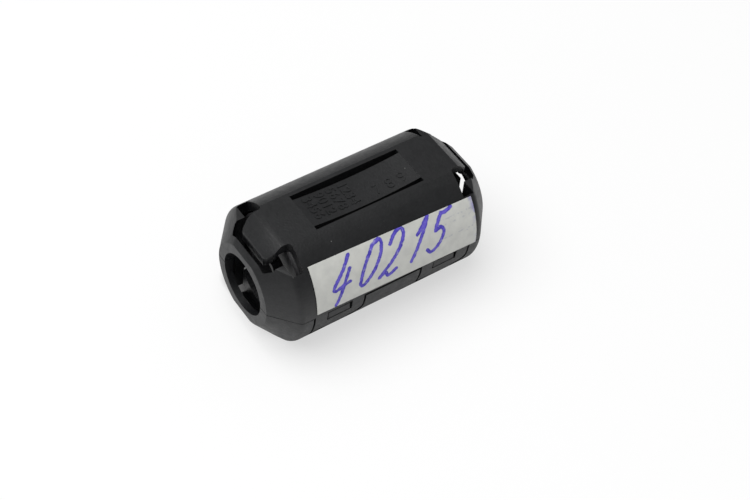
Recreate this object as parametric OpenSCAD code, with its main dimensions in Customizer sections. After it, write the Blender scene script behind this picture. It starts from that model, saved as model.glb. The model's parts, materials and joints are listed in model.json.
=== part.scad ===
// Clip-on ferrite bead: two ferrite half cores in a hinged snap case that closes round a cable.
// X runs along the cable, the film hinge is at +Y and the two latches are at -Y.
// The origin is on the axis of the cable bore, halfway along it, and Z = 0 is the parting plane.

/* [Case] */
// Length of the case along the cable
case_len = 35; // [31:0.5:50]
// Diameter of the round case
case_dia = 19.5; // [18.5:0.5:26]
// Depth of the long flats cut along the top and the bottom
flat_depth = 0.8; // [0.5:0.1:1.2]
// Wall thickness of the shells
wall = 1.4; // [1.2:0.1:1.8]
// Thickness of the end rings round the bore
end_wall = 1; // [0.8:0.1:1.4]
// Length of the taper at each end
taper_len = 3.2; // [2.6:0.1:4]
// Radius between the round body and the taper
shoulder_r = 1.2; // [0.4:0.1:2]
// Radius round the rim of the flat end rings
rim_r = 0.25; // [0.1:0.05:0.5]
// Gap between the two shells at the parting plane
part_gap = 0.1; // [0.06:0.02:0.2]
// Extra gap at the parting plane between the two latches
rim_relief = 0.25; // [0:0.05:0.5]

/* [Cable bore] */
// Diameter of the bore that the cable passes through
bore_dia = 9; // [6:0.5:11]
// Width of the flat ring round the bore at each end
ring_width = 1.5; // [1:0.1:2]
// Width of the grips that the tongues press on the cable
grip_width = 7.6; // [7:0.1:8]
// Distance from the end of the case to a grip
grip_end = 2.45; // [2.2:0.05:2.6]
// Length of the grips along the cable
grip_len = 1; // [0.6:0.1:1.2]
// Gap between the grips and a cable as thick as the bore
grip_gap = 0.06; // [0.03:0.01:0.2]
// Width of the two notches in the inner side of a grip
grip_notch = 0.8; // [0.4:0.1:1.2]
// Depth of those notches
grip_notch_depth = 0.4; // [0.2:0.1:0.4]
// Distance of each notch from the middle of the bore
grip_notch_y = 1.4; // [1:0.1:2]

/* [End facets, tongues and windows] */
// Length of the sloping facet at each end of the flats
facet_len = 3.6; // [3:0.1:5]
// How far the facet cuts into the rim of the end ring
facet_bite = 0.4; // [0:0.05:0.6]
// Thickness of the tongues in the facets
tongue_t = 1; // [0.8:0.1:1.2]
// Width of the tongues at their root
tongue_width = 6.8; // [5:0.1:8]
// Width of the flat tip of the tongues
tongue_tip_width = 5; // [3:0.1:5.4]
// Distance from the end of the case to the tip of the tongue
tongue_end = 1.5; // [1.2:0.1:2]
// Distance from the end of the case to the shoulders of the tongue
tongue_shoulder = 2.7; // [2.2:0.1:3.4]
// Radius over the upper edge of the tip
tip_r = 0.6; // [0.1:0.05:0.8]
// Width of the slot in front of the tip
tongue_slot = 0.8; // [0.3:0.05:0.9]
// Width of the pocket in the end wall that the tongue springs in
pocket_width = 9.5; // [8.6:0.1:11]
// Bevel at the outer corners of the pocket
pocket_bevel = 1; // [0.5:0.1:1.5]
// Distance from the end of the case to the inner edge of the corner windows
window_end = 4.9; // [4.4:0.1:7]
// Distance across the case between the outer sides of two windows
window_width = 14; // [12:0.1:16]
// Distance from the end of the case to the outer edge of the corner windows
shelf_end = 3.2; // [2.9:0.1:3.6]
// Depth of the shelf beside each window below the long flats
window_depth = 2.1; // [1.6:0.1:2.6]
// Radius in the inner corners of the windows
window_r = 0.5; // [0.2:0.1:1]

/* [Spring panels] */
// Distance from the end of the case to the end of the panel slots
panel_end = 9.05; // [7:0.05:12]
// Width of the spring panels
panel_width = 5.2; // [3:0.1:6]
// Width of the slots beside the panels
panel_slot = 0.7; // [0.4:0.1:1.2]
// Thickness of the panels
panel_t = 1; // [0.7:0.1:1.2]
// How far the middle of a panel bows inwards
panel_bow = 0.5; // [0:0.05:0.8]

/* [Latches] */
// Width of each latch hasp
hasp_width = 7.6; // [6:0.1:8]
// Distance from the end of the case to the nearer edge of a hasp
hasp_end = 5.25; // [4.5:0.05:7]
// How far the hasps reach below the parting plane
hasp_drop = 3.7; // [3:0.1:4]
// Thickness of a hasp at the parting plane
hasp_t = 0.8; // [0.7:0.05:1]
// Radius of the outer lower corner of a hasp
hasp_r = 1.8; // [0.5:0.1:2.4]
// Gap beside the hasps in their recesses
hasp_gap = 0.3; // [0.1:0.05:0.4]
// Gap under the hasps at both sides of the catch
foot_gap = 0.9; // [0.1:0.05:1]
// Width of the window in a hasp
catch_width = 3.85; // [3:0.05:4.5]
// Depth of the catch edge of the window below the parting plane
catch_drop = 1.7; // [1.2:0.1:2.2]
// How far a tooth stands out of the floor of its recess, which is what the hasp springs over
tooth_height = 0.65; // [0.3:0.05:0.7]
// Bevel at the top of a tooth that leads the hasp over it
tooth_lead = 0.4; // [0.2:0.05:0.8]
// Gap between a tooth and the sides of its window
tooth_gap = 0.25; // [0.05:0.01:0.3]
// Gap between a tooth and the bar below it that it holds
catch_gap = 0.03; // [0.02:0.01:0.1]
// Gap between the hasps and the floors of their recesses
latch_gap = 0.06; // [0.03:0.01:0.1]

/* [Film hinge] */
// Thickness of the film
film_t = 0.3; // [0.2:0.05:0.4]
// Mean radius of the folded film
film_r = 0.3; // [0.25:0.05:0.5]
// Length of the straight part of the film beside each shell
film_leg = 0.25; // [0.15:0.05:0.5]
// Length of each of the two hinge strips
film_len = 8; // [5:0.5:9]
// Distance from the end of the case to a hinge strip
film_end = 6; // [4.5:0.5:8]
// Gap between the film and the shells
film_gap = 0.03; // [0.02:0.01:0.05]

/* [Ferrite cores] */
// Distance from the end of the case to the end of the cores
core_end = 4.5; // [4:0.1:6]
// Gap between the cores and the walls round them
core_gap = 0.2; // [0.1:0.05:0.4]
// Gap between the cores and the panels that press on them
panel_gap = 0.03; // [0.02:0.01:0.1]
// Difference in radius between the cable bore and the bore of the cores
core_bore_step = 0.35; // [0.2:0.05:1]
// Length of the bevel at each end of the cores
core_bevel_len = 0.3; // [0.2:0.1:2]
// Depth of the bevel at each end of the cores
core_bevel = 0.3; // [0.2:0.1:1]
// Gap between the cores and the stops at their ends
stop_gap = 0.15; // [0.05:0.05:0.3]
// Thickness of the core stops
stop_t = 1.2; // [0.8:0.1:2]
// Height of the core stops above or below the parting plane
stop_z = 1.4; // [0.5:0.1:2]

/* [Paper label] */
// Distance from the left end of the case to the label
label_left = 5.45; // [4:0.05:8]
// Distance from the right end of the case to the label
label_right = 4; // [3.8:0.05:8]
// Width of the label round the case
label_width = 7.3; // [5:0.1:8]
// Height of the middle of the label above the parting plane, as an angle
label_angle = 23.6; // [20:0.1:40]
// Tilt of the label, where it was stuck on a little askew
label_tilt = -1.4; // [-3:0.1:3]
// Thickness of the label
label_t = 0.1; // [0.05:0.05:0.2]
// Thickness of the adhesive under the label
label_gap = 0.05; // [0.05:0.01:0.1]

/* [Hidden] */

case_colour = [0.21, 0.22, 0.23];
core_colour = [0.33, 0.33, 0.34];
film_colour = [0.25, 0.26, 0.27];
paper_colour = [0.76, 0.77, 0.74];

round_steps = 96;
over = 1;                                   // how far cutting shapes run past what they cut
half_len = case_len / 2;
case_r = case_dia / 2;
flat_z = case_r - flat_depth;               // height of the long flats
bore_r = bore_dia / 2;
ring_r = bore_r + ring_width;               // outer radius of the flat end rings
facet_x = half_len - facet_len;             // where the end facets start
facet_slope = (flat_z - ring_r + facet_bite) / facet_len;
core_half = half_len - core_end;
cavity_r = case_r - wall;
cavity_x = half_len - taper_len;            // the cavity ends where the tapers start
core_r = cavity_r - core_gap;

hinge_y = case_r + film_leg + PI * film_r / 2;  // the middle of the unfolded film
hasp_x = half_len - hasp_end - hasp_width / 2;
hasp_in = hinge_y + case_r - hasp_t;            // inner face of the hasps, as a radius round the hinge
floor_in = hasp_in - latch_gap;                 // floor of the hasp recesses

window_x = half_len - window_end;
sill_z = flat_z - window_depth;
window_floor = stop_z + stop_t + stop_gap;
shelf_x = half_len - shelf_end;
tip_x = half_len - tongue_end;
shoulder_x = half_len - tongue_shoulder;
pocket_x = tip_x + tongue_slot;
pocket_floor = bore_r + 0.1;                    // in the end rings the pockets stop above the bore
deep_x = half_len - end_wall;                   // and up to here they are open to the bore
grip_x = half_len - grip_end;
grip_top = (bore_r + sill_z) / 2;               // height of the grips beside the tongues
tongue_depth = tongue_t * sqrt(1 + facet_slope * facet_slope);  // thickness of a tongue along Z
root_step = 0.05;                               // how far a tongue's root is cut free below the cavity
root_x = facet_x + (wall + root_step - tongue_depth) / facet_slope;
panel_half = half_len - panel_end;
panel_step = 0.05;                              // step at the kink where a panel starts
panel_root = 0.4;                               // how far a panel runs into the flat
pressed_z = flat_z - panel_step - panel_bow - panel_t - panel_gap;
core_z = min(pressed_z, flat_z - wall - core_gap);
film_x = half_len - film_end - film_len / 2;
label_len = case_len - label_left - label_right;

// Height of the end facet over a place along the cable
function facet_z(x) = flat_z - facet_slope * (x - facet_x);

// Points of the corner b between a and c, rounded to radius r
function corner(a, b, c, r, steps = 6) =
    r <= 0 ? [b] :
    let (
        u = (a - b) / norm(a - b),
        v = (c - b) / norm(c - b),
        half = acos(u * v) / 2,
        centre = b + (u + v) / norm(u + v) * r / sin(half),
        first = b + u * r / tan(half) - centre,
        last = b + v * r / tan(half) - centre,
        start = atan2(first.y, first.x),
        turn = atan2(last.y, last.x) - start,
        sweep = turn > 180 ? turn - 360 : turn < -180 ? turn + 360 : turn
    )
    [for (i = [0 : steps]) centre + r * [cos(start + sweep * i / steps), sin(start + sweep * i / steps)]];

// Outline of corners, each given as [x, y, radius]
function outline(corners) = [
    for (i = [0 : len(corners) - 1])
        let (
            a = corners[(i + len(corners) - 1) % len(corners)],
            b = corners[i],
            c = corners[(i + 1) % len(corners)]
        )
        each corner([a.x, a.y], [b.x, b.y], [c.x, c.y], b.z)
];

// Solid of revolution round the cable axis, from a profile in [radius, x]
module turned(profile) {
    rotate([0, 90, 0])
        rotate_extrude($fn = round_steps)
            polygon(profile);
}

module rod(r, length) {
    rotate([0, 90, 0])
        cylinder(h = length, r = r, center = true, $fn = round_steps);
}

// Everything within radius r of the hinge axis
module hinge_rod(r) {
    translate([0, hinge_y, 0])
        rod(r, case_len + 2 * over);
}

// Prism along Y over a drawing in [x, z], from y = -depth to y = depth
module side_prism(depth) {
    rotate([90, 0, 0])
        linear_extrude(2 * depth, center = true)
            children();
}

// The same prism on the latch side alone
module front_prism() {
    rotate([90, 0, 0])
        linear_extrude(case_r + over)
            children();
}

// Outer form of the case
module form() {
    facet_end = facet_z(half_len);
    intersection() {
        turned(outline([
            [0, -half_len, 0],
            [ring_r, -half_len, rim_r],
            [case_r, -cavity_x, shoulder_r],
            [case_r, cavity_x, shoulder_r],
            [ring_r, half_len, rim_r],
            [0, half_len, 0]
        ]));
        side_prism(case_dia)
            polygon([
                [-half_len, -facet_end], [-facet_x, -flat_z], [facet_x, -flat_z], [half_len, -facet_end],
                [half_len, facet_end], [facet_x, flat_z], [-facet_x, flat_z], [-half_len, facet_end]
            ]);
    }
}

// The case as one solid with its bore and the cavity for the cores, before it is parted
module hollow_form() {
    difference() {
        form();
        intersection() {
            rod(cavity_r, 2 * cavity_x);
            cube([case_len, case_dia, 2 * (flat_z - wall)], center = true);
        }
        rod(bore_r, case_len + 2 * over);
    }
}

// Drawing of the tongue at the +X end, from its root to its tip
module tongue_drawing() {
    half = tongue_width / 2;
    tip = tongue_tip_width / 2;
    polygon([
        [window_x - over, -half],
        [shoulder_x, -half],
        [tip_x - (half - tip) / 3, -(half + tip) / 2],
        [tip_x, -tip],
        [tip_x, tip],
        [tip_x - (half - tip) / 3, (half + tip) / 2],
        [shoulder_x, half],
        [window_x - over, half]
    ]);
}

// Drawing of the pocket round that tongue, which is as wide as the facet at its end
module pocket_drawing() {
    half = pocket_width / 2;
    polygon(outline([
        [shelf_x - over, -half, 0],
        [pocket_x - pocket_bevel, -half, 0],
        [pocket_x, pocket_bevel - half, window_r],
        [pocket_x, half - pocket_bevel, window_r],
        [pocket_x - pocket_bevel, half, 0],
        [shelf_x - over, half, 0]
    ]));
}

// Drawing of the windows beside that tongue, out to x = end and y = reach
module window_drawings(end, reach) {
    half = tongue_width / 2;
    for (side = [-1, 1])
        polygon(outline([
            [window_x, side * half, window_r],
            [window_x, side * reach, 0],
            [end, side * reach, 0],
            [end, side * half, 0]
        ]));
}

// The windows, shelves and pocket round the tongue at the +X end of the top
module tongue_cuts() {
    nose = corner([facet_x, flat_z], [tip_x, facet_z(tip_x)], [tip_x, 0], tip_r);
    difference() {
        union() {
            translate([0, 0, sill_z])
                linear_extrude(case_r)
                    window_drawings(tip_x, case_r);
            translate([0, 0, window_floor])
                linear_extrude(case_r)
                    window_drawings(shelf_x, window_width / 2);
            translate([0, 0, pocket_floor])
                linear_extrude(case_r)
                    pocket_drawing();
            translate([0, 0, -over])
                linear_extrude(case_r + over)
                    intersection() {
                        pocket_drawing();
                        translate([deep_x / 2, 0])
                            square([deep_x, case_dia], center = true);
                    }
        }
        intersection() {
            linear_extrude(2 * case_r)
                tongue_drawing();
            side_prism(case_r)
                polygon([
                    [0, flat_z - wall - root_step],
                    [root_x, flat_z - wall - root_step],
                    [half_len, facet_z(half_len) - tongue_depth],
                    [half_len, case_r],
                    [0, case_r]
                ]);
        }
    }
    side_prism((tongue_width + tongue_slot) / 2)
        polygon(concat(nose, [
            [tip_x + tongue_slot / 2, nose[len(nose) - 1].y],
            [tip_x + tongue_slot / 2, flat_z + over],
            [nose[0].x, flat_z + over]
        ]));
}

// The two slots beside the top spring panel, with the room that the panel bows into
module panel_cut() {
    width = panel_width + 2 * panel_slot;
    translate([-panel_half, -width / 2, flat_z - wall - over])
        cube([2 * panel_half, width, wall + 2 * over]);
}

// The top spring panel, bowed towards the core
module panel() {
    end = flat_z - panel_step;
    steps = 16;
    upper = [
        [-panel_half - panel_root, end],
        for (i = [-steps / 2 : steps / 2])
            let (at = 2 * i / steps)
            [panel_half * at, end - panel_bow * (1 - at * at)],
        [panel_half + panel_root, end]
    ];
    lower = [for (i = [len(upper) - 1 : -1 : 0]) upper[i] - [0, panel_t]];
    side_prism(panel_width / 2)
        polygon(concat(upper, lower));
}

// All the openings of the upper half
module top_cuts() {
    panel_cut();
    for (end = [0, 1])
        mirror([end, 0, 0])
            tongue_cuts();
}

// Blocks on the side walls that hold a core endways
module core_stops() {
    start = core_half + stop_gap;
    end = cavity_x + stop_gap;
    difference() {
        intersection() {
            for (turn = [-1, 1], side = [-1, 1])
                translate([turn * (start + end) / 2, side * (bore_r + case_r) / 2, stop_z + stop_t / 2])
                    cube([end - start, case_r - bore_r, stop_t], center = true);
            rod(case_r - wall / 2, case_len);
        }
        rod(ring_r, case_len + over);
    }
}

// Drawing of a grip in [x, z], from the parting plane up to the heights at its outer and inner side
module grip_drawing(top) {
    polygon([
        [grip_x - grip_len, part_gap],
        [grip_x, part_gap],
        [grip_x, top[0]],
        [grip_x - grip_len, top[1]]
    ]);
}

// Grips on the inner sides of the top tongues, each a wide bar on a neck as wide as the tongue
module grips() {
    depth = grip_gap + bore_r;
    notch_x = grip_x - grip_len + grip_notch_depth;
    difference() {
        for (turn = [0, 1])
            mirror([turn, 0, 0]) {
                side_prism(grip_width / 2)
                    grip_drawing([grip_top, grip_top]);
                side_prism(tongue_width / 2 - root_step)
                    grip_drawing([facet_z(grip_x), facet_z(grip_x - grip_len)] - [1, 1] * tongue_depth / 2);
            }
        rod(depth, case_len);
        for (side = [-1, 1])
            translate([0, side * grip_notch_y, 0])
                cube([2 * notch_x, grip_notch, 2 * (depth + grip_len)], center = true);
    }
}

// Drawing of the hasps in [x, z], grown by a gap at the sides and another at the foot
module hasp_drawings(grow, foot) {
    half = hasp_width / 2 + grow;
    for (side = [-1, 1])
        translate([side * hasp_x, 0])
            polygon(outline([
                [-half, over, 0],
                [-half, -hasp_drop - foot, 0],
                [half, -hasp_drop - foot, hasp_r + grow],
                [half, over, 0]
            ]));
}

// Drawing of what fills the windows of the hasps, from the parting plane to a depth
module catch_drawings(width, depth) {
    for (side = [-1, 1])
        translate([side * hasp_x - width / 2, -depth])
            square([width, depth + over]);
}

module upper_shell() {
    color(case_colour) {
        difference() {
            intersection() {
                hollow_form();
                union() {
                    translate([0, 0, part_gap / 2 + case_r])
                        cube([case_len + over, case_dia + over, case_dia], center = true);
                    front_prism()
                        difference() {
                            hasp_drawings(0, 0);
                            catch_drawings(catch_width, catch_drop);
                        }
                }
            }
            intersection() {
                hinge_rod(hasp_in);
                translate([0, 0, part_gap / 2 - case_r])
                    cube([case_len + over, 2 * case_dia, case_dia], center = true);
            }
            top_cuts();
        }
        panel();
        core_stops();
        grips();
    }
}

// Recesses that the hasps close into, floored round the hinge
module hasp_recesses() {
    difference() {
        front_prism()
            difference() {
                hasp_drawings(hasp_gap, foot_gap);
                translate([0, -hasp_drop - latch_gap - case_r])
                    for (side = [-1, 1])
                        translate([side * hasp_x - catch_width / 2, 0])
                            square([catch_width, case_r]);
            }
        hinge_rod(floor_in);
    }
}

// Teeth that stand in the windows of the hasps, nearly flush with the case
module teeth() {
    top_z = -part_gap / 2 - latch_gap;
    catch_z = catch_gap - catch_drop;
    root_y = hinge_y - floor_in + wall / 4;
    tooth_y = hinge_y - floor_in - tooth_height;
    width = catch_width - 2 * tooth_gap;
    for (side = [-1, 1])
        translate([side * hasp_x - width / 2, 0, 0])
            rotate([90, 0, 90])
                linear_extrude(width)
                    polygon([
                        [root_y, top_z],
                        [tooth_y + tooth_lead, top_z],
                        [tooth_y, top_z - tooth_lead],
                        [tooth_y, catch_z],
                        [root_y, catch_z]
                    ]);
}

module lower_shell() {
    color(case_colour) {
        difference() {
            intersection() {
                hollow_form();
                translate([0, 0, -part_gap / 2 - case_r])
                    cube([case_len + over, case_dia + over, case_dia], center = true);
            }
            hasp_recesses();
            front_prism()
                square([2 * (hasp_x - hasp_width / 2), 2 * rim_relief + part_gap], center = true);
            mirror([0, 0, 1])
                top_cuts();
        }
        mirror([0, 0, 1]) {
            panel();
            core_stops();
            grips();
        }
        teeth();
    }
}

// Folded film that joins the shells at the back
module film_hinge() {
    seat_y = case_r + film_gap;
    fold_y = case_r + film_leg;
    inner = film_r - film_t / 2;
    outer = film_r + film_t / 2;
    steps = 8;
    turn = [for (i = [0 : steps]) 180 * i / steps - 90];
    color(film_colour)
        for (side = [-1, 1])
            translate([side * film_x - film_len / 2, 0, 0])
                rotate([90, 0, 90])
                    linear_extrude(film_len)
                        polygon(concat(
                            [[seat_y, -outer]],
                            [for (a = turn) [fold_y + outer * cos(a), outer * sin(a)]],
                            [[seat_y, outer], [seat_y, inner]],
                            [for (a = turn) [fold_y + inner * cos(a), -inner * sin(a)]],
                            [[seat_y, -inner]]
                        ));
}

// Half core above the parting plane, flat where the spring panel bears on it
module core() {
    color(core_colour)
        difference() {
            intersection() {
                turned([
                    [0, -core_half],
                    [core_r - core_bevel, -core_half],
                    [core_r, core_bevel_len - core_half],
                    [core_r, core_half - core_bevel_len],
                    [core_r - core_bevel, core_half],
                    [0, core_half]
                ]);
                translate([0, 0, (core_z + part_gap / 2) / 2])
                    cube([case_len, case_dia, core_z - part_gap / 2], center = true);
            }
            rod(bore_r + core_bore_step, case_len);
        }
}

module upper_core() {
    core();
}

module lower_core() {
    mirror([0, 0, 1])
        core();
}

// Label wrapped over the front of the upper shell
module paper_label() {
    inner = case_r + label_gap;
    span = 2 * inner * sin(label_width / inner * 90 / PI);
    color(paper_colour)
        intersection() {
            difference() {
                rod(inner + label_t, case_len);
                rod(inner, case_len + over);
            }
            translate([(label_left - label_right) / 2, 0, 0])
                rotate([90 - label_angle, 0, 0])
                    rotate([0, 0, label_tilt])
                        linear_extrude(case_r + over)
                            square([label_len, span], center = true);
        }
}

lower_shell();
lower_core();
film_hinge();
upper_shell();
upper_core();
paper_label();
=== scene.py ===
import json
import math
import bpy
import bmesh
from mathutils import Matrix, Vector


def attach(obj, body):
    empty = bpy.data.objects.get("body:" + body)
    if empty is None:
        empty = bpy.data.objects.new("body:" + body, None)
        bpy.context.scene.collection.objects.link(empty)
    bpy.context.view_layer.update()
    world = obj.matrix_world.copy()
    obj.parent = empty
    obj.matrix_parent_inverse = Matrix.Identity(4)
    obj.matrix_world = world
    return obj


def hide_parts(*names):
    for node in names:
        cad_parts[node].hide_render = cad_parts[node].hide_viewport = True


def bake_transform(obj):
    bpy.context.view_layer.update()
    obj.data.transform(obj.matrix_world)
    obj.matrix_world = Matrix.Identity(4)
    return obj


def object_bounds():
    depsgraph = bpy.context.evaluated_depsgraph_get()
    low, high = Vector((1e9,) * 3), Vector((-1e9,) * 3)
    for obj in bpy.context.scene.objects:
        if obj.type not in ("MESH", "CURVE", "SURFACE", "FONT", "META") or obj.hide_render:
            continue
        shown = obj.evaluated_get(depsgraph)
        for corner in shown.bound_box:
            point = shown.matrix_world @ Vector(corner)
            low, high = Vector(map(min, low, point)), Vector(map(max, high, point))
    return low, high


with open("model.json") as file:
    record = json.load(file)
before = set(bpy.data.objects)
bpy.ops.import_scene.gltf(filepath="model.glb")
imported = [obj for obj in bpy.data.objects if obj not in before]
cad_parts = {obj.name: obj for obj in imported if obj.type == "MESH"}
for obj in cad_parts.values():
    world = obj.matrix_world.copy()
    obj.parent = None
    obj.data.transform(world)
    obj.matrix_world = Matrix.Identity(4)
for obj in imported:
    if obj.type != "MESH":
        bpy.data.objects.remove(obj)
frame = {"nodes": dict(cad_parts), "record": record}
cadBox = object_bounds()
mm = 0.001


class Wire:  # one value in a shader, which does sums with others
    def __init__(self, finish, socket):
        self.finish, self.socket = finish, socket

    def sum(self, operation, *others):
        return self.finish.add("Math", {"operation": operation}, dict(enumerate((self, *others))))

    def __add__(self, other):
        return self.sum("ADD", other)

    def __mul__(self, other):
        return self.sum("MULTIPLY", other)

    def __sub__(self, other):
        return self.sum("SUBTRACT", other)


class Finish:  # one material with its shader
    def __init__(self, name):
        self.material = bpy.data.materials.new(name)
        self.material.use_nodes = True
        self.tree = self.material.node_tree
        self.tree.nodes.clear()
        self.shader = self.tree.nodes.new("ShaderNodeBsdfPrincipled")
        self.output = self.tree.nodes.new("ShaderNodeOutputMaterial")
        self.tree.links.new(self.shader.outputs[0], self.output.inputs["Surface"])

    def put(self, socket, value):
        if isinstance(value, Wire):
            self.tree.links.new(value.socket, socket)
        else:
            socket.default_value = value

    def add(self, kind, settings, values, output=0):
        node = self.tree.nodes.new("ShaderNode" + kind)
        for name, value in settings.items():
            setattr(node, name, value)
        for name, value in values.items():
            self.put(node.inputs[name], value)
        return Wire(self, node.outputs[output])

    def place(self):
        return self.add("TexCoord", {}, {}, "Object")

    def axis(self, letter):  # a coordinate in millimetres
        return self.add("SeparateXYZ", {}, {0: self.place()}, letter) * (1 / mm)

    def layer(self, name):  # a value that the mesh carries
        return self.add("Attribute", {"attribute_name": name}, {}, "Fac")

    def spread(self, value, low, high, toLow=0.0, toHigh=1.0):  # a range of one wire stretched to another
        return self.add("MapRange", {}, {0: value, 1: low, 2: high, 3: toLow, 4: toHigh})

    def grain(self, perMm, detail=3, roughness=0.5):  # noise with so many cells in a millimetre
        return self.add("TexNoise", {}, {"Vector": self.place(), "Scale": perMm / mm, "Detail": detail,
                                         "Roughness": roughness})

    def patches(self, perMm, low, high, toLow=0.0, toHigh=1.0, detail=3):  # a range of noise stretched
        return self.spread(self.grain(perMm, detail), low, high, toLow, toHigh)

    def specks(self, perMm, radius, core=0.6):  # 1 inside sparse dots, radius in millimetres
        distance = self.add("TexVoronoi", {}, {"Vector": self.place(), "Scale": perMm / mm}, "Distance")
        return self.spread(distance, radius * perMm, radius * perMm * core)

    def blendColours(self, share, first, second):
        return self.add("Mix", {"data_type": "RGBA"}, {"Factor": share, 6: first, 7: second}, 2)

    def bump(self, height, depth, strength):  # depth of the relief in millimetres
        return self.add("Bump", {}, {"Height": height, "Distance": depth * mm, "Strength": strength})

    def over(self, kind, share):  # a share of another shader over the first
        mix, other = self.tree.nodes.new("ShaderNodeMixShader"), self.tree.nodes.new("ShaderNode" + kind)
        self.put(mix.inputs[0], share)
        self.tree.links.new(self.shader.outputs[0], mix.inputs[1])
        self.tree.links.new(other.outputs[0], mix.inputs[2])
        self.tree.links.new(mix.outputs[0], self.output.inputs["Surface"])

    def wear(self, **values):  # sets the shader's sockets and hands over the material
        for name, value in values.items():
            self.put(self.shader.inputs[name.replace("_", " ")], value)
        return self.material


def meshObject(name, bm, material):
    mesh = bpy.data.meshes.new(name)
    bm.to_mesh(mesh)
    bm.free()
    thing = bpy.data.objects.new(name, mesh)
    bpy.context.scene.collection.objects.link(thing)
    mesh.materials.append(material)
    return thing


view = {"azimuth": 39.0, "elevation": 49.7, "roll": 6.31, "distance": 0.22938,
        "aim": Vector((0.00596, 0.00225, -0.00958)), "lens": 77.37, "sensor": 36, "clip": (0.01, 20)}


def makeCamera():
    data = bpy.data.cameras.new("camera")
    data.lens, data.sensor_width = view["lens"], view["sensor"]
    data.clip_start, data.clip_end = view["clip"]
    camera = bpy.data.objects.new("camera", data)
    bpy.context.scene.collection.objects.link(camera)
    turn = (Matrix.Rotation(-math.radians(view["azimuth"]), 4, "Z")
            @ Matrix.Rotation(math.radians(90 - view["elevation"]), 4, "X")
            @ Matrix.Rotation(math.radians(view["roll"]), 4, "Z"))
    back = turn.to_3x3() @ Vector((0, 0, 1))
    camera.matrix_world = Matrix.Translation(view["aim"] + back * view["distance"]) @ turn
    bpy.context.scene.camera = camera


makeCamera()
print("camera set")

sky = {"colour": (1, 1, 1, 1), "light": 0.31, "seen": 1.0}


def makeWorld():  # the camera sees plain white, and the part gets a weaker light from all round
    world = bpy.data.worlds.new("studio")
    bpy.context.scene.world = world
    world.use_nodes = True
    nodes, links = world.node_tree.nodes, world.node_tree.links
    nodes.clear()
    path, seen = nodes.new("ShaderNodeLightPath"), nodes.new("ShaderNodeMath")
    seen.operation = "MAXIMUM"
    links.new(path.outputs["Is Camera Ray"], seen.inputs[0])
    links.new(path.outputs["Is Transmission Ray"], seen.inputs[1])
    mix, output = nodes.new("ShaderNodeMixShader"), nodes.new("ShaderNodeOutputWorld")
    links.new(seen.outputs[0], mix.inputs[0])
    for socket, strength in ((1, sky["light"]), (2, sky["seen"])):
        light = nodes.new("ShaderNodeBackground")
        light.inputs[0].default_value, light.inputs[1].default_value = sky["colour"], strength
        links.new(light.outputs[0], mix.inputs[socket])
    links.new(mix.outputs[0], output.inputs[0])


ground = {"size": 6.0, "pale": (0.955, 0.955, 0.955, 1), "grey": (0.935, 0.935, 0.935, 1),
          "cloudPerMm": 0.02, "rough": 0.9, "specular": 0.2, "glow": 0.6,
          "under": (0.22, 0.22, 0.22, 1), "underMiddle": 5.0,  # a shadow painted grey on the floor under the part, where the floor's glow is also taken away
          "endsFade": (13.6, 16.3), "sidesFade": (2.0, 5.4),  # millimetres from its middle
          "whole": 0.4}  # share of the fade that is still as dark as the middle


def makeFloor():
    sheet = Finish("floorPaper")
    shade = sheet.blendColours(sheet.grain(ground["cloudPerMm"]), ground["grey"], ground["pale"])
    ends = sheet.spread(sheet.axis("X").sum("ABSOLUTE"), *ground["endsFade"])
    sides = sheet.spread((sheet.axis("Y") - ground["underMiddle"]).sum("ABSOLUTE"), *ground["sidesFade"])
    # painted shadow: a band of floor under the part is painted grey and loses its glow
    outsidePaintedShadow = sheet.spread((ends * ends + sides * sides).sum("SQRT"), ground["whole"], 1)
    shade = sheet.blendColours(outsidePaintedShadow, ground["under"], shade)
    surface = sheet.wear(Base_Color=shade, Roughness=ground["rough"], Specular_IOR_Level=ground["specular"])
    seen = sheet.add("LightPath", {}, {}, "Is Camera Ray")
    sheet.over("Emission", seen * outsidePaintedShadow * ground["glow"])
    bm = bmesh.new()
    bmesh.ops.create_grid(bm, x_segments=1, y_segments=1, size=ground["size"] / 2)
    bmesh.ops.translate(bm, verts=bm.verts, vec=(0, 0, cadBox[0].z))
    floor = meshObject("floor", bm, surface)


lamp = {"place": (-0.3, 0.1, 0.85), "size": 1.0, "power": 8.6}


def makeLamp():
    data = bpy.data.lights.new("overhead", "AREA")
    data.shape, data.size, data.energy = "DISK", lamp["size"], lamp["power"]
    light = bpy.data.objects.new("overhead", data)
    bpy.context.scene.collection.objects.link(light)
    light.location = lamp["place"]
    light.rotation_euler = (-Vector(lamp["place"])).to_track_quat("-Z", "Y").to_euler()


makeWorld()
makeFloor()
makeLamp()
bpy.context.scene.view_settings.view_transform = "Standard"
print("studio lit")

plastic = {
    "dark": (0.002, 0.0023, 0.003, 1), "pale": (0.0065, 0.007, 0.0082, 1),
    "cloud": {"perMm": 0.25, "low": 0.35, "high": 0.65, "detail": 2},
    "mottle": {"perMm": 2.5, "low": 0.35, "high": 0.7},
    "scuffs": {"perMm": 1.4, "low": 0.42, "high": 0.6}, "scuff": (0.035, 0.035, 0.035, 1),
    "dots": {"perMm": 0.32, "radius": 0.07}, "dust": (0.20, 0.20, 0.19, 1),
    "fineDots": {"perMm": 1.1, "radius": 0.035}, "fineShare": 0.3,
    "rough": {"perMm": 1.2, "low": 0.3, "high": 0.7, "toLow": 0.42, "toHigh": 0.52}, "dustRough": 0.3,
    "sparkPerMm": 3.2, "sparkDetail": 2, "sparkDepth": 0.03, "sparkStrength": 0.9,
}


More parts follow.
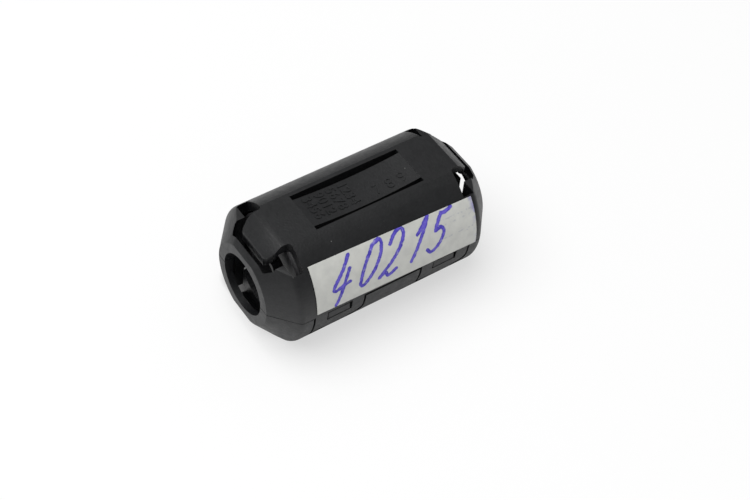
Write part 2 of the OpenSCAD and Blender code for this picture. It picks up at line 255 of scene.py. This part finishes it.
def casePlastic():  # spark-eroded black plastic with pale scuffs along its edges and a little dust
    skin = Finish("casePlastic")
    clouded = skin.patches(**plastic["cloud"]) * 0.5 + skin.patches(**plastic["mottle"]) * 0.5
    shade = skin.blendColours(clouded, plastic["dark"], plastic["pale"])
    worn = skin.layer("softEdge") * skin.patches(**plastic["scuffs"])
    shade = skin.blendColours(worn, shade, plastic["scuff"])
    fine = skin.specks(**plastic["fineDots"]) * plastic["fineShare"]
    dusty = skin.specks(**plastic["dots"]).sum("MAXIMUM", fine)
    shade = skin.blendColours(dusty, shade, plastic["dust"])
    rough = skin.patches(**plastic["rough"]) + dusty * plastic["dustRough"]
    spark = skin.grain(plastic["sparkPerMm"], plastic["sparkDetail"])
    return skin.wear(Base_Color=shade, Roughness=rough,
                     Normal=skin.bump(spark, plastic["sparkDepth"], plastic["sparkStrength"]))


ferrite = {"dark": (0.016, 0.016, 0.017, 1), "pale": (0.034, 0.034, 0.036, 1), "shades": (0.35, 0.65),
           "perMm": 3.0, "detail": 4, "grit": 0.6, "rough": (0.3, 0.7, 0.38, 0.55), "depth": 0.012,
           "strength": 0.6}


def ferriteGrey():
    ceramic = Finish("ferriteGrey")
    grains = ceramic.grain(ferrite["perMm"], ferrite["detail"], ferrite["grit"])
    shade = ceramic.blendColours(ceramic.spread(grains, *ferrite["shades"]), ferrite["dark"], ferrite["pale"])
    return ceramic.wear(Base_Color=shade, Roughness=ceramic.spread(grains, *ferrite["rough"]),
                        Normal=ceramic.bump(grains, ferrite["depth"], ferrite["strength"]))


paper = {
    "pale": (0.645, 0.65, 0.615, 1), "grey": (0.565, 0.57, 0.545, 1), "rough": 0.72,
    "fibre": {"perMm": 0.8, "low": 0.3, "high": 0.7},
    "bumpPerMm": 5.0, "bumpDepth": 0.01, "bumpStrength": 0.5,
    "print": (0.33, 0.35, 0.42, 1), "printShare": 0.4,
    "printRows": (5.0, 5.6, 3.3), "rowHalf": (0.14, 0.06),  # height of each row, and where its edge fades
    "printFrom": (6.5, 8.5), "printDots": {"perMm": 2.2, "low": 0.52, "high": 0.60, "detail": 1},
    "ink": (0.008, 0.001, 0.34, 1), "inkPale": (0.19, 0.145, 0.72, 1),
    "nib": 0.26, "feather": 0.05, "raggedPerMm": 2.4, "ragged": 0.3,  # half a line's width, and its edge
    "thin": {"perMm": 1.3, "low": 0.35, "high": 0.65}, "thinShare": 0.5,
    "middle": (0.03, 0.17), "middleShare": 0.3,  # the paler middle of the line, millimetres from its edge
    "fade": {"perMm": 2.0, "low": 0.30, "high": 0.42, "toLow": 0.7, "toHigh": 1.0},
    "flecks": {"perMm": 0.45, "radius": 0.09}, "fleckShare": 0.5,
    "smearFrom": (12.9, 13.4), "smears": {"perMm": 0.9, "low": 0.42, "high": 0.62, "toHigh": 0.5},
}


def labelPaper():  # grey paper with faint rows of print, and the ink that the mesh carries
    sheet = Finish("labelPaper")
    along, height = sheet.axis("X"), sheet.axis("Z")
    shade = sheet.blendColours(sheet.patches(**paper["fibre"]), paper["grey"], paper["pale"])
    rows = 0.0
    for row in paper["printRows"]:
        rows = sheet.spread((height - row).sum("ABSOLUTE"), *paper["rowHalf"]) + rows
    printed = rows * sheet.patches(**paper["printDots"]) * sheet.spread(along, *paper["printFrom"])
    shade = sheet.blendColours(printed * paper["printShare"], shade, paper["print"])
    ragged = sheet.layer("ink") + (sheet.grain(paper["raggedPerMm"]) - 0.5) * paper["ragged"]
    edge = 1 - paper["nib"]
    line = sheet.spread(ragged, edge - paper["feather"], edge + paper["feather"])
    middle = sheet.spread(ragged, edge + paper["middle"][0], edge + paper["middle"][1])
    thin = sheet.patches(**paper["thin"]) * paper["thinShare"] + middle * paper["middleShare"]
    ink = sheet.blendColours(thin, paper["ink"], paper["inkPale"])
    flecks = sheet.specks(**paper["flecks"]) * paper["fleckShare"]
    smear = sheet.spread(along, *paper["smearFrom"]) * sheet.patches(**paper["smears"])
    inked = (line * sheet.patches(**paper["fade"])).sum("MAXIMUM", flecks).sum("MAXIMUM", smear)
    fibres = sheet.bump(sheet.grain(paper["bumpPerMm"]), paper["bumpDepth"], paper["bumpStrength"])
    shade = sheet.blendColours(inked, shade, ink)
    return sheet.wear(Base_Color=shade, Roughness=paper["rough"], Normal=fibres)


finishes = {"case": casePlastic(), "ferrite": ferriteGrey(), "label": labelPaper()}
slots = {row["node"]: row["material_slot"] for row in frame["record"]["subparts"]}
for node, thing in frame["nodes"].items():
    thing.data.materials.clear()
    thing.data.materials.append(finishes[slots[node]])
print("finishes made")

grips = {"ends": (14.0, 15.1), "mouth": 15.0, "boreRadius": 4.56, "leadIn": 0.5, "match": 0.02,
         "neck": (3.35, 5.6, 7.6, 2.0), "shoulder": (3.8, 5.6, 5.8, 3.2)}  # half width, from, to, new half


def trimGrip(place):  # narrows the neck and shoulders of an upper grip and bevels it where the cable enters
    x, y, z = abs(place.x) / mm, abs(place.y) / mm, place.z / mm
    if z < 0 or not grips["ends"][0] < x < grips["ends"][1]:
        return
    for wide, low, high, narrow in (grips["neck"], grips["shoulder"]):
        if abs(y - wide) < grips["match"] and low < z < high:
            place.y *= narrow / wide
    if abs(math.hypot(y, z) - grips["boreRadius"]) < grips["match"] and x > grips["mouth"]:
        place.x *= 1 - grips["leadIn"] / x


soft = {"merge": 0.002 * mm, "radius": 0.07 * mm, "segments": 2,
        "flat": math.radians(0.3), "sharp": math.radians(28), "crease": math.radians(20)}
bodies = {"upper_shell": "lid", "lower_shell": "base", "upper_core": "lid", "lower_core": "base"}


def shadeSmooth(bm):  # smooth faces, with a hard edge where they turn by more than the crease
    for face in bm.faces:
        face.smooth = True
    for edge in bm.edges:
        edge.smooth = not edge.is_manifold or edge.calc_face_angle() < soft["crease"]


def softenedCopy(node, body):  # the same solid with its sharp edges just taken off
    bm = bmesh.new()
    bm.from_mesh(frame["nodes"][node].data)
    bmesh.ops.remove_doubles(bm, verts=bm.verts, dist=soft["merge"])
    bmesh.ops.dissolve_limit(bm, angle_limit=soft["flat"], verts=bm.verts, edges=bm.edges)
    for vert in bm.verts:
        trimGrip(vert.co)
    softEdge = bm.faces.layers.float.new("softEdge")
    sharp = [edge for edge in bm.edges if edge.is_manifold and edge.calc_face_angle() > soft["sharp"]]
    rounded = bmesh.ops.bevel(bm, geom=sharp, offset=soft["radius"], segments=soft["segments"], profile=0.5,
                              affect="EDGES", clamp_overlap=True, material=-1)["faces"]
    for face in rounded:
        face[softEdge] = 1.0
    bmesh.ops.remove_doubles(bm, verts=bm.verts, dist=soft["merge"])
    for vert in bm.verts:
        vert.co = [min(max(at, low), high) for at, low, high in zip(vert.co, *cadBox)]
    bmesh.ops.recalc_face_normals(bm, faces=bm.faces)
    shadeSmooth(bm)
    piece = meshObject(node + "_soft", bm, finishes[slots[node]])
    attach(piece, body)
    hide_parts(node)


for node, body in bodies.items():
    softenedCopy(node, body)
print("edges softened")

film = {"seat": 9.78, "fold": 10.0, "radius": 0.449, "thick": 0.3, "crease": 0.149, "steps": 14,
        "middles": (-7.5, 7.5), "length": 8.0}


def foldedFilm():  # two thin strips bent into a U
    bm = bmesh.new()
    arc = [math.radians(180 * step / film["steps"] - 90) for step in range(film["steps"] + 1)]
    path = [(film["seat"], -film["radius"])]
    path += [(film["fold"] + film["radius"] * math.cos(turn), film["radius"] * math.sin(turn))
             for turn in arc]
    path += [(film["seat"], film["radius"])]
    for middle in film["middles"]:
        bent = [bm.verts.new((middle - film["length"] / 2, *point)) for point in path]
        edges = [bm.edges.new(ends) for ends in zip(bent, bent[1:])]
        swept = bmesh.ops.extrude_edge_only(bm, edges=edges)
        moved = [item for item in swept["geom"] if isinstance(item, bmesh.types.BMVert)]
        bmesh.ops.translate(bm, verts=moved, vec=(film["length"], 0, 0))
    bmesh.ops.recalc_face_normals(bm, faces=bm.faces)
    bmesh.ops.solidify(bm, geom=bm.faces[:], thickness=film["thick"])
    bmesh.ops.scale(bm, verts=bm.verts, vec=(mm, mm, mm))
    bmesh.ops.recalc_face_normals(bm, faces=bm.faces)
    strips = meshObject("film_strips", bm, finishes["case"])
    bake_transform(strips)
    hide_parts("film_hinge")


foldedFilm()
print("film hinge folded")

strokes = {  # each digit as pen strokes in a box 1 by 1, from its lower left
    "4": (((0.62, 1.0), (0.38, 0.74), (0.02, 0.42), (0.2, 0.33), (0.55, 0.38), (0.98, 0.42)),
          ((0.80, 0.72), (0.66, 0.45), (0.60, 0.2), (0.5, -0.04))),
    "0": (((0.6, 1.0), (0.25, 0.9), (0.02, 0.5), (0.1, 0.12), (0.42, 0.0), (0.82, 0.25), (0.98, 0.66),
           (0.78, 0.96), (0.45, 0.96)),),
    "2": (((0.05, 0.76), (0.24, 0.96), (0.62, 1.0), (0.84, 0.78), (0.6, 0.42), (0.02, 0.04), (0.3, 0.12),
           (0.6, 0.0), (0.98, 0.1)),),
    "1": (((0.0, 0.66), (0.4, 0.8), (0.9, 1.02), (0.72, 0.6), (0.6, 0.3), (0.5, 0.0)),),
    "5": (((0.3, 0.98), (0.22, 0.78), (0.18, 0.58), (0.55, 0.62), (0.88, 0.44), (0.78, 0.14), (0.4, 0.0),
           (0.0, 0.12)),
          ((0.3, 0.98), (0.62, 0.97), (0.98, 1.04))),
}
number = (  # digit, its left and lowest point on the label, width, height and slant
    ("4", 1.7, 0.5, 2.5, 6.1, 0.42),
    ("0", 6.2, 1.5, 2.3, 5.4, 0.55),
    ("2", 9.5, 1.3, 2.6, 5.7, 0.55),
    ("1", 14.2, 1.8, 1.2, 5.2, 0.60),
    ("5", 17.1, 1.9, 2.3, 4.9, 0.55),
)
pen = {"steps": 5, "reach": 1.0, "near": 1.5}  # steps between points, how far ink counts and is sought


def bentAt(share, before, start, stop, after):  # one coordinate on a smooth curve from start to stop
    return 0.5 * (2 * start + (stop - before) * share
                  + (2 * before - 5 * start + 4 * stop - after) * share * share
                  + (3 * start - before - 3 * stop + after) * share ** 3)


def penPath(points):  # a smooth line through the points of one stroke
    ends = [points[0], *points, points[-1]]
    path = []
    for four in zip(ends, ends[1:], ends[2:], ends[3:]):
        for step in range(pen["steps"]):
            path.append(Vector([bentAt(step / pen["steps"], *places) for places in zip(*four)]))
    return path + [Vector(points[-1])]


def penLines():
    lines = []
    for digit, left, low, width, tall, slant in number:
        for stroke in strokes[digit]:
            lines.append([Vector((left + point.x * width + point.y * tall * slant, low + point.y * tall))
                          for point in penPath(stroke)])
    return lines


def inkAt(point, lines):  # 1 on a pen line and 0 at a whole millimetre from it
    nearest = pen["reach"]
    for line in lines:
        for start, stop in zip(line, line[1:]):
            if abs(point.x - start.x) < pen["near"] and abs(point.y - start.y) < pen["near"]:
                along = stop - start
                share = min(max((point - start).dot(along) / max(along.dot(along), 1e-9), 0), 1)
                nearest = min(nearest, (start + along * share - point).length)
    return 1 - nearest


label = {"left": -12.05, "right": 13.5, "width": 7.3, "angle": 23.6, "tilt": -1.4, "cell": 0.1,
         "radius": 9.899, "inner": 9.8, "thick": 0.098}


def wrappedLabel():  # a fine sheet that follows the curve of the case and carries the ink
    long, lines = label["right"] - label["left"], penLines()
    half = label["inner"] * math.sin(label["width"] / label["inner"] / 2)
    bm = bmesh.new()
    bmesh.ops.create_grid(bm, x_segments=round(long / label["cell"]),
                          y_segments=round(2 * half / label["cell"]), size=1)
    ink = bm.verts.layers.float.new("ink")
    turn = Matrix.Rotation(math.radians(label["tilt"]), 2)
    for vert in bm.verts:
        flat = Vector((vert.co.x * long / 2, vert.co.y * half))
        vert[ink] = inkAt(flat + Vector((long / 2, half)), lines)
        flat = turn @ flat
        angle = math.radians(label["angle"]) + math.asin(flat.y / label["radius"])
        vert.co = Vector((flat.x + (label["left"] + label["right"]) / 2, -label["radius"] * math.cos(angle),
                          label["radius"] * math.sin(angle))) * mm
    bmesh.ops.recalc_face_normals(bm, faces=bm.faces)
    if bm.faces[0].normal.y > 0:
        bmesh.ops.reverse_faces(bm, faces=bm.faces)
    bmesh.ops.solidify(bm, geom=bm.faces[:], thickness=label["thick"] * mm)
    shadeSmooth(bm)
    sheet = meshObject("label_sheet", bm, finishes["label"])
    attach(sheet, "lid")
    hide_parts("paper_label")


wrappedLabel()
print("label written and wrapped")

figures = (  # text, height, space between lines, left, top and turn in degrees
    ("1234\n5678\n9012\n3456", 2.1, 0.87, -1.9, 2.35, -90),
    ("7 8 9", 2.5, 1.0, 1.9, -1.9, 0),
)
relief = {"raised": 0.11, "sunk": 0.03, "curveSteps": 3, "merge": 0.001,
          "panelTop": 8.90, "bow": 0.5, "panelHalf": 8.45}  # the panel as in the solids


def raisedFigures():  # plain mould figures that stand just proud of the bowed panel
    bm = bmesh.new()
    for text, size, pitch, left, top, turn in figures:
        curve = bpy.data.curves.new("figures", "FONT")
        curve.body, curve.size, curve.space_line = text, size, pitch
        curve.extrude, curve.resolution_u = (relief["raised"] + relief["sunk"]) / 2, relief["curveSteps"]
        drawn = bpy.data.objects.new("drawn", curve)
        bpy.context.scene.collection.objects.link(drawn)
        bpy.context.view_layer.update()
        letters = drawn.evaluated_get(bpy.context.evaluated_depsgraph_get()).to_mesh()
        letters.transform(Matrix.Translation((left, top, 0)) @ Matrix.Rotation(math.radians(turn), 4, "Z"))
        bm.from_mesh(letters)
        bpy.data.objects.remove(drawn)
    bmesh.ops.remove_doubles(bm, verts=bm.verts, dist=relief["merge"])
    for vert in bm.verts:
        surface = relief["panelTop"] - relief["bow"] * (1 - (vert.co.x / relief["panelHalf"]) ** 2)
        vert.co.z += surface + (relief["raised"] - relief["sunk"]) / 2
        vert.co *= mm
    bmesh.ops.recalc_face_normals(bm, faces=bm.faces)
    piece = meshObject("mould_figures", bm, finishes["case"])
    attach(piece, "lid")


raisedFigures()
print("figures raised")
